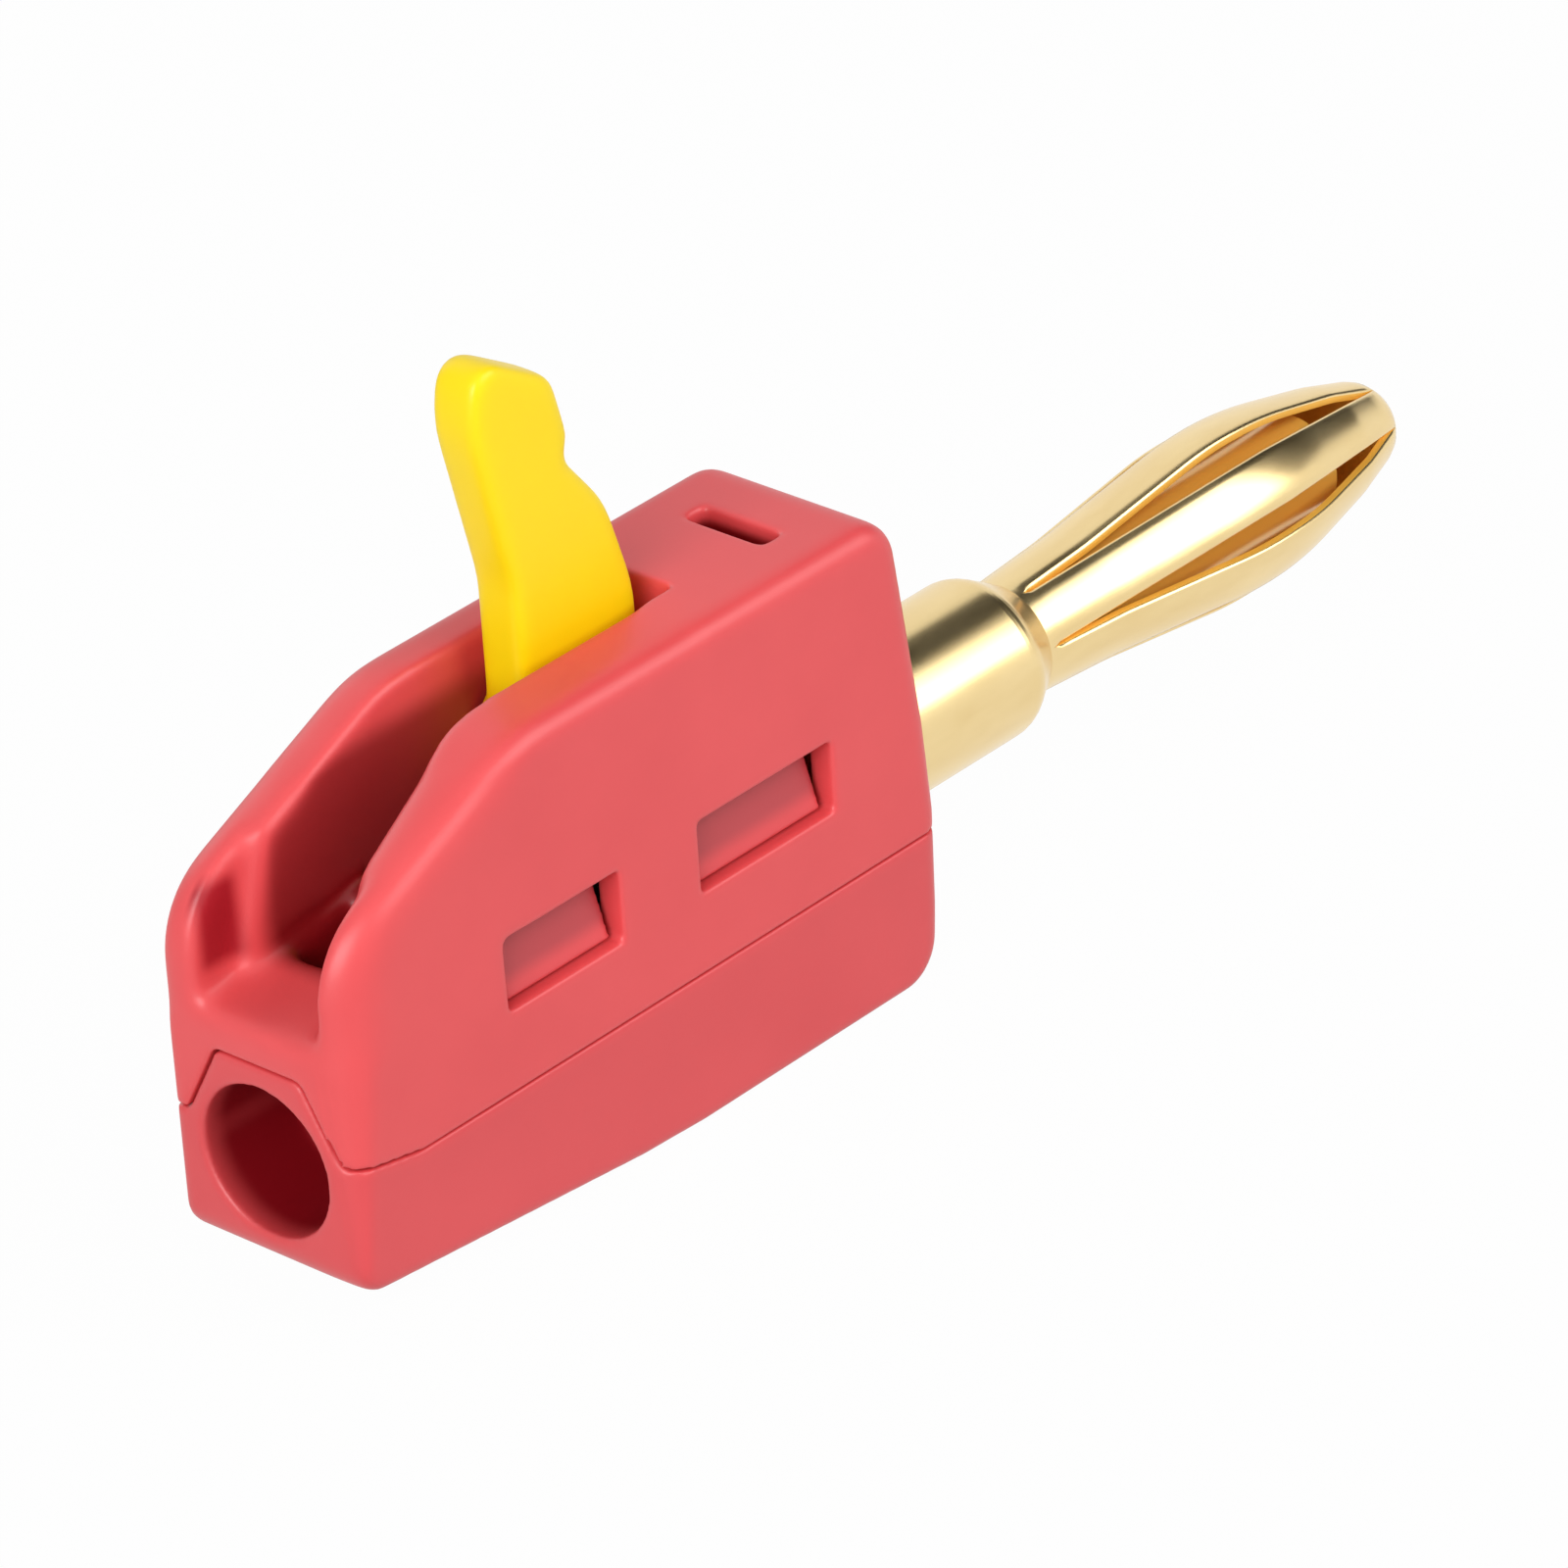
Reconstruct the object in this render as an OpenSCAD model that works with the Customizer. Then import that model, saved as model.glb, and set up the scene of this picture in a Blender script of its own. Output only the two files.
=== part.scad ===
// Lever banana plug: a two-part housing, a clamping lever, a cage clamp and a sprung contact pin.
// X runs from the wire end to the tip of the pin, Z is up, and the housing stands on its underside.

/* [Housing] */
// Width of the housing
body_w = 5.9; // [5.7:0.1:7]
// Length of the housing from the wire end to the fullest point of its rear face
body_l = 21.4; // [21:0.1:24]
// Height of the flat top
body_h = 13.2; // [13:0.1:15]
// Rounding of the upper housing's long edges
edge_r = 0.55; // [0.4:0.05:0.8]
// Rounding of the underside's edges and of the front edges
base_r = 0.3; // [0.2:0.05:0.4]
// Rounding that the upright front edge of the thicker wall grows to at the nose
blend_r = 1.65; // [0.8:0.05:2]
// Side wall beside the latch arms
wall = 0.78; // [0.7:0.02:0.9]
// Rear wall that holds the pin
rear_wall = 2.6; // [2.4:0.1:3]
// Height of the parting line along the sides
parting_z = 4.05; // [3.8:0.05:4.3]
// Gap along the parting line
seam = 0.05; // [0.02:0.01:0.1]

/* [Outline from the side] */
// Height at which the line of the sloping nose meets the wire end
nose_z = 10.2; // [9.8:0.1:10.6]
// Distance of the top of the slope from the wire end
crown_x = 6.8; // [6.2:0.1:7.4]
// Rounding at the front of the nose
nose_r = 2.6; // [1.8:0.1:3]
// Rounding at the top of the slope
crown_r = 4; // [2:0.5:6]
// Height of the underside at the wire end
ramp_rise = 1.05; // [0.6:0.05:1.4]
// Distance of the foot of the ramp from the wire end
foot_x = 11; // [9:0.5:12]
// Height of the fullest point of the rear face
rear_z = 4.6; // [3.5:0.1:6]
// Forward lean of the rear face at its top
rear_lean = 1.15; // [0.8:0.05:1.6]
// Forward lean of the rear face at its foot
rear_tuck = 0.4; // [0.2:0.1:0.6]
// Rounding between the two leans of the rear face
rear_r = 24; // [15:1:26]
// Rounding at the foot of the rear face
heel_r = 1.2; // [0.6:0.1:1.6]
// Rounding at the top of the rear face
crest_r = 1.2; // [0.6:0.1:1.4]
// Rounding at the small corners of the outline
corner_r = 0.8; // [0.3:0.1:1]

/* [Wire entry] */
// Radius of the wire bore
bore_r = 2; // [1.7:0.05:2.1]
// Height of the bore's axis
bore_z = 3.87; // [3.8:0.02:4]
// Length of the wire bore
bore_l = 3; // [2.6:0.1:3.2]
// Length of the funnel behind the bore
funnel_l = 0.8; // [0.6:0.1:1]
// Radius of the hole that guides the bare conductor
guide_r = 1.25; // [1:0.05:1.4]
// Length of the block with the bore
block_l = 4.4; // [4.3:0.05:4.6]
// Height of the hood over the bore
hood_z = 6.47; // [6.4:0.02:6.6]
// Width of the hood at its top
hood_top_w = 2.7; // [2.4:0.1:3]
// Width of the hood at the parting line
hood_base_w = 5.4; // [5:0.1:5.5]
// Rounding at the top of the hood
hood_r = 0.35; // [0.2:0.05:0.5]
// Rise of the parting line at the wire end
parting_rise = 0.45; // [0.3:0.05:0.6]
// Length over which the parting line rises
parting_rise_l = 2.4; // [1.8:0.1:3]

/* [Lever slot] */
// Offset of the lever from the middle of the housing
lever_y = 0.3; // [0:0.05:0.35]
// Width of the slot
slot_w = 2.3; // [2.2:0.05:2.4]
// Gap between the cam and the rear end of the slot
slot_gap = 0.2; // [0.15:0.05:0.4]
// Height of the slot's floor at the wire end
floor_z = 7.48; // [7.4:0.02:7.5]
// Angle at which the slot's floor rises
floor_angle = 12.2; // [11:0.2:12.8]
// Width of the finger recess at the wire end
recess_w = 3.74; // [3.4:0.02:4]
// Length of the finger recess at its floor
recess_foot = 1.45; // [1.2:0.05:1.7]
// Length of the finger recess at its top
recess_top = 2.9; // [2.4:0.1:3.2]
// Rounding of the recess floor's front edge
lip_r = 0.35; // [0.2:0.05:0.5]
// Distance from the wire end at which the recess narrows to the slot on the side of the thicker wall
taper_x = 6.2; // [5:0.1:7]
// Distance of the opening in the slot's floor from the wire end
hatch_x = 2.65; // [2.5:0.05:3]
// Length of the opening in the slot's floor
hatch_l = 2.1; // [1.8:0.1:2.4]
// Width of the opening in the slot's floor
hatch_w = 1.6; // [1.2:0.1:1.8]
// Distance from the wire end at which the slot runs down into the inside
well_x = 5.5; // [5.3:0.1:5.6]

/* [Windows and catches] */
// Distance of the front window from the wire end
front_win_x = 5.65; // [5.65:0.05:5.9]
// Length of the front window
front_win_l = 4.05; // [3.8:0.05:4.2]
// Distance of the rear window from the rear face
rear_win_x = 4; // [3.9:0.05:4.1]
// Length of the rear window
rear_win_l = 4.9; // [4.6:0.1:5.1]
// Height of the window sills
win_z = 6.25; // [6.1:0.05:6.4]
// Height of the windows
win_h = 1.95; // [1.8:0.05:2]
// Thickness of a latch arm
arm_t = 0.65; // [0.6:0.05:0.7]
// Gap between a latch arm and the side wall
arm_gap = 0.07; // [0.05:0.01:0.1]
// Gap at each end of a latch arm in its window
arm_end = 0.2; // [0.15:0.05:0.3]
// Gap between a catch and its window's sill
catch_gap = 0.1; // [0.05:0.05:0.15]
// Depth of a catch's edge below the side face
catch_depth = 0.28; // [0.15:0.01:0.35]
// Room above the windows
roof_gap = 0.3; // [0.25:0.05:0.35]

/* [Test slot] */
// Length of the test slot across the top
test_l = 2.5; // [2:0.1:2.8]
// Width of the test slot
test_w = 0.75; // [0.6:0.05:1]
// Distance of the test slot's middle from the rear face
test_x = 3.8; // [3.7:0.1:4.2]
// Top wall over the rear hollow
top_wall = 1.5; // [1.2:0.1:2]
// Length of the rear hollow
hollow_l = 3.3; // [3:0.1:3.6]

/* [Lever] */
// Thickness of the lever
lever_t = 1.45; // [1.3:0.05:1.5]
// Distance of the pivot from the wire end
pivot_x = 11.2; // [11:0.05:11.3]
// Height of the pivot
pivot_z = 10.55; // [10.5:0.05:10.6]
// Radius of the trunnions
trunnion_r = 1; // [0.8:0.05:1.2]
// Length of each trunnion
trunnion_l = 1.4; // [1.2:0.05:1.45]
// Running clearance of the trunnions
trunnion_fit = 0.05; // [0.02:0.01:0.08]
// Radius of the bosses round the trunnions
boss_r = 1.7; // [1.5:0.05:1.8]
// Gap between a boss and the slot's wall
boss_gap = 0.1; // [0.05:0.01:0.15]
// Reach of the cam below the pivot
cam_reach = 3; // [2.8:0.05:3]
// Width of the cam's foot
cam_w = 1.4; // [1:0.1:1.6]
// Distance of the blade's front edge before the pivot
blade_front = 1.67; // [1.6:0.01:1.7]
// Distance of the blade's rear edge behind the pivot
blade_rear = 2.52; // [2.4:0.01:2.55]
// Depth below the pivot at which the cam begins
cam_drop = 1.35; // [1.2:0.05:1.5]
// Rounding of the cam's foot
cam_r = 0.4; // [0.2:0.05:0.5]
// Rounding where the cam begins
hip_r = 0.8; // [0.4:0.1:1]
// Height above the pivot at which the blade's rear edge begins to lean
shank_z = 2.9; // [2.7:0.05:3.1]
// Distance of the thumb shoulder behind the pivot
thumb_x = 1.75; // [1.6:0.05:1.9]
// Height of the thumb shoulder above the pivot
thumb_z = 5.45; // [5.2:0.05:5.7]
// Distance of the thumb notch behind the pivot
notch_x = 0.42; // [0.3:0.02:0.5]
// Height of the thumb notch above the pivot
notch_z = 7.12; // [7:0.02:7.2]
// Rounding of the thumb notch
notch_r = 0.35; // [0.2:0.05:0.4]
// Distance of the bump over the notch behind the pivot
bump_x = 0.68; // [0.6:0.02:0.8]
// Height of the bump above the pivot
bump_z = 7.65; // [7.6:0.01:7.8]
// Reach of the tip above the pivot
tip_reach = 10.9; // [10.4:0.1:11]
// Distance of the tip's rear corner behind the pivot
head_x = 0.25; // [0.1:0.05:0.4]
// Distance of the tip's rear corner below the tip
head_drop = 1.55; // [1.3:0.05:1.7]
// Distance of the tip before the pivot
tip_x = 2.35; // [2.2:0.05:2.5]
// Distance of the head's front edge before the pivot
brow_x = 2.7; // [2.6:0.01:2.75]
// Distance of the head's front edge below the tip
brow_drop = 1.9; // [1.7:0.1:2.1]
// Height above the pivot at which the blade's front edge begins to lean
lean_z = 4.5; // [4.3:0.1:4.8]
// Rounding of the long bends of the blade
bend_r = 3; // [2:0.5:4]
// Rounding of the head's corners
head_r = 0.7; // [0.4:0.05:0.8]
// Rounding of the tip across its thickness
tip_r = 0.5; // [0.3:0.05:0.6]

/* [Cage clamp] */
// Thickness of the clamp's steel strip
strip_t = 0.35; // [0.3:0.05:0.4]
// Gap between the clamp and the latch arms
strip_gap = 0.1; // [0.08:0.02:0.2]
// Gap between the cam and the clamp
cam_gap = 0.15; // [0.12:0.01:0.2]
// Thickness of the current bar
bar_t = 0.6; // [0.5:0.05:0.7]
// Height of the current bar's underside
bar_z = 5.1; // [5.05:0.05:5.2]
// Gap between the wire block and the clamp's front leg
cage_gap = 1.75; // [1.5:0.05:2]
// Width of each side of the cage window
cage_side = 0.32; // [0.3:0.02:0.4]
// Gap between the current bar and the cage window
cage_fit = 0.08; // [0.05:0.01:0.12]
// Height of the cage window's lower bar
cage_foot = 0.6; // [0.5:0.05:0.7]
// Thickness of the lower cover's floor
base_t = 1.5; // [1.3:0.05:1.6]
// Gap under the cage
cage_room = 0.4; // [0.3:0.05:0.5]

/* [Contact pin] */
// Height of the pin's axis
pin_z = 5.65; // [5.6:0.05:5.9]
// Radius of the collar
collar_r = 2.2; // [2.1:0.02:2.24]
// Length of the collar outside the housing
collar_l = 4.8; // [4:0.1:7]
// Depth at which the collar sits in the rear wall
collar_seat = 1.2; // [1:0.1:1.3]
// Radius of the groove in the rear wall
groove_r = 1.5; // [1.3:0.05:1.6]
// Radial gap round the pin in the rear wall
pin_fit = 0.03; // [0.02:0.01:0.06]
// Radius of the inner flange
flange_r = 2.05; // [1.9:0.05:2.08]
// Thickness of the inner flange
flange_t = 1.1; // [0.9:0.05:1.2]
// Radius of the tail on the current bar
tail_r = 1.2; // [1:0.05:1.3]
// Length of the tail
tail_l = 2.7; // [2.4:0.1:2.8]
// Length of the sprung part from the collar's shoulder to the tip
pin_l = 16.2; // [15.5:0.1:17]
// Length of the shoulder's taper
shoulder_l = 1.05; // [0.9:0.05:1.3]
// Rounding of the shoulder
shoulder_r = 0.9; // [0.4:0.1:1.2]
// Radius where the leaves leave the shoulder
neck_r = 1.58; // [1.55:0.01:1.62]
// Distance from the shoulder at which the leaves begin to spread
waist_x = 3.9; // [3.2:0.1:4.5]
// Radius at which the leaves begin to spread
waist_r = 1.76; // [1.7:0.01:1.85]
// Distance from the shoulder at which the leaves' two tapers meet
bulge_x = 10.1; // [9.2:0.1:10.6]
// Radius at which the leaves' two tapers meet
bulge_r = 2.46; // [2.3:0.02:2.6]
// Rounding between the leaves' two tapers
spread_r = 13; // [6:1:16]
// Distance from the tip at which the leaves turn in
nose_l = 2.15; // [1.8:0.05:2.4]
// Radius at which the leaves turn in
nose_in_r = 1.65; // [1.6:0.01:1.7]
// Rounding where the leaves turn in
turn_in_r = 4; // [2:0.5:6]
// Radius at which the line of the turned-in ends meets the tip
tip_end_r = 1.02; // [0.95:0.01:1.15]
// Rounding of the tip
tip_round = 1.1; // [0.6:0.1:1.2]
// Width of a leaf
leaf_w = 1.48; // [1.3:0.02:1.5]
// Width of a leaf at the tip
leaf_tip_w = 1.1; // [0.9:0.02:1.3]
// Length of the sleeve's ring that shows before the leaves part
ring_l = 0.4; // [0.2:0.05:0.6]
// Turn of the leaves about the pin's axis
leaf_turn = 21; // [0:1:59]
// Thickness of the spring sleeve
sleeve_t = 0.2; // [0.15:0.01:0.25]
// Gap between the spring sleeve and the core
sleeve_fit = 0.02; // [0.01:0.01:0.04]
// Depth at which the spring sleeve sits in the collar
sleeve_seat = 1.6; // [1.2:0.1:3]
// Length of the core's rod from the collar's shoulder
rod_l = 13.1; // [9:0.1:13.4]
// Chamfer at the end of the rod
rod_chamfer = 0.2; // [0.1:0.05:0.3]
// Radius of the core's blind bore
core_bore_r = 0.95; // [0.7:0.05:1]
// Depth of the core's blind bore from the end of the rod
core_bore_l = 17.5; // [10:0.5:18]

/* [Hidden] */
$fn = 48;

housing_red = [0.88, 0.36, 0.37];
lever_yellow = [0.99, 0.86, 0.04];
spring_steel = [0.72, 0.73, 0.74];
bar_copper = [0.80, 0.48, 0.32];
pin_gold = [0.90, 0.78, 0.48];

// Distance by which a cut runs past the face it opens
over = 1;
// Overlap where pieces of one solid join
join = 0.3;
// Largest turn of one side of a rounded corner
turn_step = 9;
// Largest turn of one side along the bend of a leaf
leaf_step = 2;
// Number of layers that round a shell's edge
edge_steps = 4;
// Number of layers that round the edges on the side with the softer front edge
blend_steps = 7;
// Thickness of one such layer
layer = 0.2;
// Depth by which the outermost layer lies under the middle one, so that the faces are slightly crowned
crowning = 0.004;
// Step of the fine grid that the points of the housing's outline lie on
grid = 0.0001;
// Number of pairs of opposite leaves
leaf_pairs = 3;

inside_half = body_w / 2 - wall;
arm_out = inside_half - arm_gap;
arm_in = arm_out - arm_t;
inside_end = body_l - rear_wall;
front_win = [front_win_x, front_win_x + front_win_l];
rear_win = [body_l - rear_win_x - rear_win_l, body_l - rear_win_x];
roof_z = win_z + win_h + roof_gap;
well_z = roof_z - join;
slot_end = pivot_x + cam_reach + slot_gap;
strip_half = arm_in - strip_gap;
strip_top = pivot_z - cam_reach - cam_gap;
bar_top = bar_z + bar_t;
cage_x = block_l + cage_gap;
cage_half = strip_half - cage_side;
bar_neck_half = cage_half - cage_fit;
tail_x = inside_end - seam - flange_t - tail_l;
bar_end = inside_end - 2 * seam - flange_t;
collar_x = body_l - collar_seat;
shoulder_x = body_l + collar_l;
overall_l = shoulder_x + pin_l;
socket_r = neck_r + sleeve_fit;
rod_r = neck_r - sleeve_t - sleeve_fit;

function unit(v) = v / norm(v);

// Points of an arc of radius r that rounds the corner b between a and c
function corner(a, b, c, r, step) =
    r == 0 ? [b] :
    let (u = unit(a - b), v = unit(c - b), half = acos(u * v) / 2)
    let (centre = b + unit(u + v) * r / sin(half), first = b + u * r / tan(half) - centre)
    let (last = b + v * r / tan(half) - centre, start = atan2(first.y, first.x))
    let (turn = (atan2(last.y, last.x) - start + 540) % 360 - 180)
    let (steps = ceil(abs(turn) / step))
    [for (i = [0:steps]) let (angle = start + turn * i / steps) centre + r * [cos(angle), sin(angle)]];

// Outline through points [x, y, radius] with each corner rounded
function rounded(points, step = turn_step) =
    let (n = len(points), flat = [for (p = points) [p[0], p[1]]])
    [for (i = [0:n - 1]) each corner(flat[(i + n - 1) % n], flat[i], flat[(i + 1) % n], points[i][2], step)];

// The points of an outline moved onto the fine grid
function snapped(points) = [for (p = points) [round(p.x / grid), round(p.y / grid)] * grid];

// Outline [radius, distance from the shoulder] of the sleeve, set in by a depth
function sleeve_outline(inset) = rounded([
    [0, shoulder_l - sleeve_seat + seam, 0],
    [neck_r - inset, shoulder_l - sleeve_seat + seam, 0],
    [neck_r - inset, shoulder_l, spread_r],
    [waist_r - inset, waist_x, spread_r],
    [bulge_r - inset, bulge_x, spread_r],
    [nose_in_r - inset, pin_l - nose_l, turn_in_r],
    [tip_end_r - inset, pin_l - inset, tip_round - inset],
    [0, pin_l - inset, 0]], leaf_step);

// Moves a piece from the wire end to the middle of the overall length
module placed() {
    translate([-overall_l / 2, 0, 0]) children();
}

// Extrudes an outline drawn in X and Z by a width that is centred on Y
module across(width) {
    rotate([90, 0, 0]) linear_extrude(height = width, center = true) children();
}

// Extrudes an outline drawn in Y and Z along X
module along(start, length) {
    translate([start, 0, 0]) rotate([90, 0, 90]) linear_extrude(height = length) children();
}

// Box between two corners
module block(low, high) {
    translate(low) cube(high - low);
}

// Round bar along X on the pin's axis
module pin_bar(start, length, r) {
    translate([start, 0, pin_z]) rotate([0, 90, 0]) cylinder(h = length, r = r);
}

// Outline from the side, cut back at its front foot, its nose and its rear face
module side_outline(foot_cut, nose_cut, rear_cut) {
    rear_x = body_l - rear_cut;
    polygon(snapped(rounded([
        [foot_cut, ramp_rise, corner_r],
        [foot_x, 0, rear_r],
        [rear_x - rear_tuck, 0, heel_r],
        [rear_x, rear_z, rear_r],
        [rear_x - rear_lean, body_h, crest_r],
        [crown_x, body_h, crown_r],
        [nose_cut, nose_z + nose_cut * (body_h - nose_z) / crown_x, nose_r]])));
}

// Depth that a rounding of radius r reaches at a distance d from the side face
function cut_in(r, d) = d < r ? r - sqrt(r * r - pow(r - d, 2)) : 0;

// Outer form of the housing, with its long edges rounded by r
module shell(r) {
    hull() {
        translate([0, (blend_r - edge_r) / 2, 0]) across(body_w - blend_r - edge_r) side_outline(0, 0, 0);
        for (side = [[1, base_r, edge_r, edge_steps], [-1, blend_r, blend_r, blend_steps]], i = [1:side[3]])
            let (turn = sin(90 * i / side[3]), d = side[2] * (1 - turn), inset = cut_in(r, d))
                translate([0, side[0] * (body_w / 2 - d - layer / 2), 0]) across(layer)
                    offset(delta = -inset - crowning * turn * turn)
                        side_outline(cut_in(base_r, d) - inset, cut_in(side[1], d) - inset, cut_in(edge_r, d) - inset);
    }
}

// Space under the parting line, raised by a gap
module below_parting(gap) {
    translate([0, 0, gap]) across(body_w + 2 * over) polygon([
        [-over, -over],
        [body_l + over, -over],
        [body_l + over, parting_z],
        [parting_rise_l, parting_z],
        [0, parting_z + parting_rise],
        [-over, parting_z + parting_rise]]);
}

// Hood over the wire bore, widened by a gap
module hood(gap) {
    along(-over, block_l + over + gap) polygon(rounded([
        [-hood_base_w / 2 - gap, parting_z - over, 0],
        [hood_base_w / 2 + gap, parting_z - over, 0],
        [hood_base_w / 2 + gap, parting_z, 0],
        [hood_top_w / 2 + gap, hood_z + gap, hood_r],
        [-hood_top_w / 2 - gap, hood_z + gap, hood_r],
        [-hood_base_w / 2 - gap, parting_z, 0]]));
}

// Line of the slot's floor at distance x from the wire end
function floor_at(x) = floor_z + x * tan(floor_angle);

module lever_slot() {
    translate([0, lever_y, 0]) across(slot_w) polygon([
        [-over, floor_at(-over)],
        [well_x, floor_at(well_x)],
        [well_x, well_z],
        [slot_end, well_z],
        [slot_end, body_h + over],
        [-over, body_h + over]]);
    block([hatch_x, lever_y - hatch_w / 2, hood_z + seam / 2],
        [hatch_x + hatch_l, lever_y + hatch_w / 2, floor_at(well_x) + join]);
}

// Recess that ends at a rib on one side of the slot and narrows to the slot on the other
module finger_recess() {
    across(recess_w) polygon(rounded([
        [-over, floor_z - lip_r, 0],
        [-seam / 2, floor_z - lip_r, 0],
        [-seam / 2, floor_at(-seam / 2), lip_r],
        [recess_foot, floor_at(recess_foot), 0],
        [recess_top, body_h, 0],
        [-over, body_h, 0]]));
    intersection() {
        linear_extrude(height = body_h + over) polygon([
            [-over, lever_y],
            [-over, -recess_w / 2],
            [0, -recess_w / 2],
            [taper_x, lever_y - slot_w / 2],
            [taper_x, lever_y]]);
        across(body_w) polygon([
            [-2 * over, floor_at(-2 * over)],
            [taper_x + over, floor_at(taper_x + over)],
            [taper_x + over, body_h + over / 2],
            [-2 * over, body_h + over / 2]]);
    }
}

module inside() {
    block([block_l, -inside_half, 0], [inside_end, inside_half, hood_z + seam]);
    block([well_x, -inside_half, 0], [inside_end, inside_half, roof_z]);
    block([inside_end - hollow_l, -arm_out, win_z], [inside_end, arm_out, body_h - top_wall]);
}

module windows() {
    for (span = [front_win, rear_win], side = [-1, 1])
        translate([span[0], side * body_w / 2 - wall - over / 2, win_z])
            cube([span[1] - span[0], 2 * wall + over, win_h]);
}

module trunnion_bores() {
    translate([pivot_x, lever_y, pivot_z]) rotate([90, 0, 0])
        cylinder(h = lever_t + 2 * trunnion_l + 2 * seam, r = trunnion_r + trunnion_fit, center = true);
}

// Notch in the rear wall that takes the groove and the collar from below
module pin_notch() {
    for (step = [[inside_end - over, groove_r + pin_fit], [collar_x, collar_r + pin_fit]]) {
        pin_bar(step[0], body_l + over - step[0], step[1]);
        block([step[0], pin_fit / 2 - step[1], 0], [body_l + over, step[1] - pin_fit / 2, pin_z]);
    }
}

module upper_housing() {
    color(housing_red) placed() difference() {
        shell(edge_r);
        below_parting(seam);
        hood(seam);
        inside();
        lever_slot();
        finger_recess();
        windows();
        trunnion_bores();
        pin_notch();
        translate([body_l - test_x, 0, body_h]) cube([test_w, test_l, 2 * top_wall + over], center = true);
    }
}

// Latch arm with its wedge, on the side given by its sign
module latch(span, side) {
    wedge_z = win_z + catch_gap;
    start = span[0] + arm_end;
    length = span[1] - span[0] - 2 * arm_end;
    mirror([0, side < 0 ? 1 : 0, 0]) along(start, length) polygon([
        [arm_in, parting_z - over],
        [arm_out, parting_z - over],
        [arm_out, wedge_z],
        [body_w / 2 - catch_depth, wedge_z],
        [arm_out, win_z + win_h],
        [arm_out - arm_t / 2, roof_z - catch_gap],
        [arm_in, roof_z - catch_gap]]);
}

module wire_way() {
    translate([0, 0, bore_z]) rotate([0, 90, 0]) {
        translate([0, 0, -over]) cylinder(h = bore_l + over, r = bore_r);
        translate([0, 0, bore_l]) cylinder(h = funnel_l, r1 = bore_r, r2 = guide_r);
        translate([0, 0, bore_l]) cylinder(h = block_l, r = guide_r);
    }
}

// Tongue that closes the rear notch under the groove
module tongue() {
    difference() {
        block([inside_end + seam, -groove_r, parting_z - over], [collar_x - seam, groove_r, pin_z - join]);
        pin_bar(inside_end, rear_wall, groove_r + pin_fit);
    }
}

// Rests between the latch arms that carry the current bar
module bar_rests() {
    for (side = [-1, 1])
        block([front_win[1] + arm_end, min(side * cage_half, side * arm_out), base_t - join],
            [rear_win[0] - arm_end, max(side * cage_half, side * arm_out), bar_z]);
}

module lower_cover() {
    color(housing_red) placed() {
        difference() {
            intersection() {
                shell(base_r);
                union() {
                    below_parting(0);
                    hood(0);
                }
            }
            block([block_l, -arm_in + seam, base_t], [inside_end, arm_in - seam, hood_z + over]);
            wire_way();
            pin_bar(collar_x - seam, rear_wall, collar_r + pin_fit);
        }
        for (span = [front_win, rear_win], side = [-1, 1]) latch(span, side);
        tongue();
        bar_rests();
    }
}

// Side outline of the lever about its pivot, raised
module lever_outline() {
    polygon(rounded([
        [-blade_front, -cam_drop, hip_r],
        [-cam_w / 2, -cam_reach, cam_r],
        [cam_w / 2, -cam_reach, cam_r],
        [blade_rear, -cam_drop, hip_r],
        [blade_rear, shank_z, bend_r],
        [thumb_x, thumb_z, bend_r],
        [notch_x, notch_z, notch_r],
        [bump_x, bump_z, notch_r],
        [head_x, tip_reach - head_drop, head_r],
        [-tip_x, tip_reach, head_r],
        [-brow_x, tip_reach - brow_drop, bend_r],
        [-blade_front, lean_z, bend_r]]));
}

module lever() {
    boss_t = slot_w / 2 - boss_gap;
    color(lever_yellow) placed() translate([pivot_x, lever_y, pivot_z]) {
        intersection() {
            across(lever_t) lever_outline();
            along(-tip_reach, 2 * tip_reach) polygon(rounded([
                [-lever_t / 2, -tip_reach, 0],
                [lever_t / 2, -tip_reach, 0],
                [lever_t / 2, tip_reach, tip_r],
                [-lever_t / 2, tip_reach, tip_r]]));
        }
        rotate([90, 0, 0]) {
            cylinder(h = 2 * boss_t, r = boss_r, center = true);
            cylinder(h = lever_t + 2 * trunnion_l, r = trunnion_r, center = true);
        }
    }
}

// Strip bent into a loop, with the cage window in its front leg
module cage_clamp() {
    loop_end = tail_x - strip_gap;
    bend = (strip_top - bar_top) / 2 - seam;
    inner_bend = bend - strip_t;
    heel_x = cage_x + 2 * bend;
    foot_z = base_t + cage_room;
    color(spring_steel) placed() difference() {
        across(2 * strip_half) polygon(rounded([
            [heel_x, bar_top, 0],
            [loop_end, bar_top, bend],
            [loop_end, strip_top, bend],
            [cage_x, strip_top, bend],
            [cage_x, foot_z, 0],
            [cage_x + strip_t, foot_z, 0],
            [cage_x + strip_t, strip_top - strip_t, inner_bend],
            [loop_end - strip_t, strip_top - strip_t, inner_bend],
            [loop_end - strip_t, bar_top + strip_t, inner_bend],
            [heel_x, bar_top + strip_t, 0]]));
        block([cage_x - over, -cage_half, foot_z + cage_foot],
            [cage_x + strip_t + seam, cage_half, bar_top + cage_fit]);
    }
}

module current_bar() {
    neck_end = cage_x + strip_t + strip_gap;
    color(bar_copper) placed() {
        block([block_l + seam, -bar_neck_half, bar_z], [neck_end + join, bar_neck_half, bar_top]);
        block([neck_end, -strip_half, bar_z], [bar_end, strip_half, bar_top]);
    }
}

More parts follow.
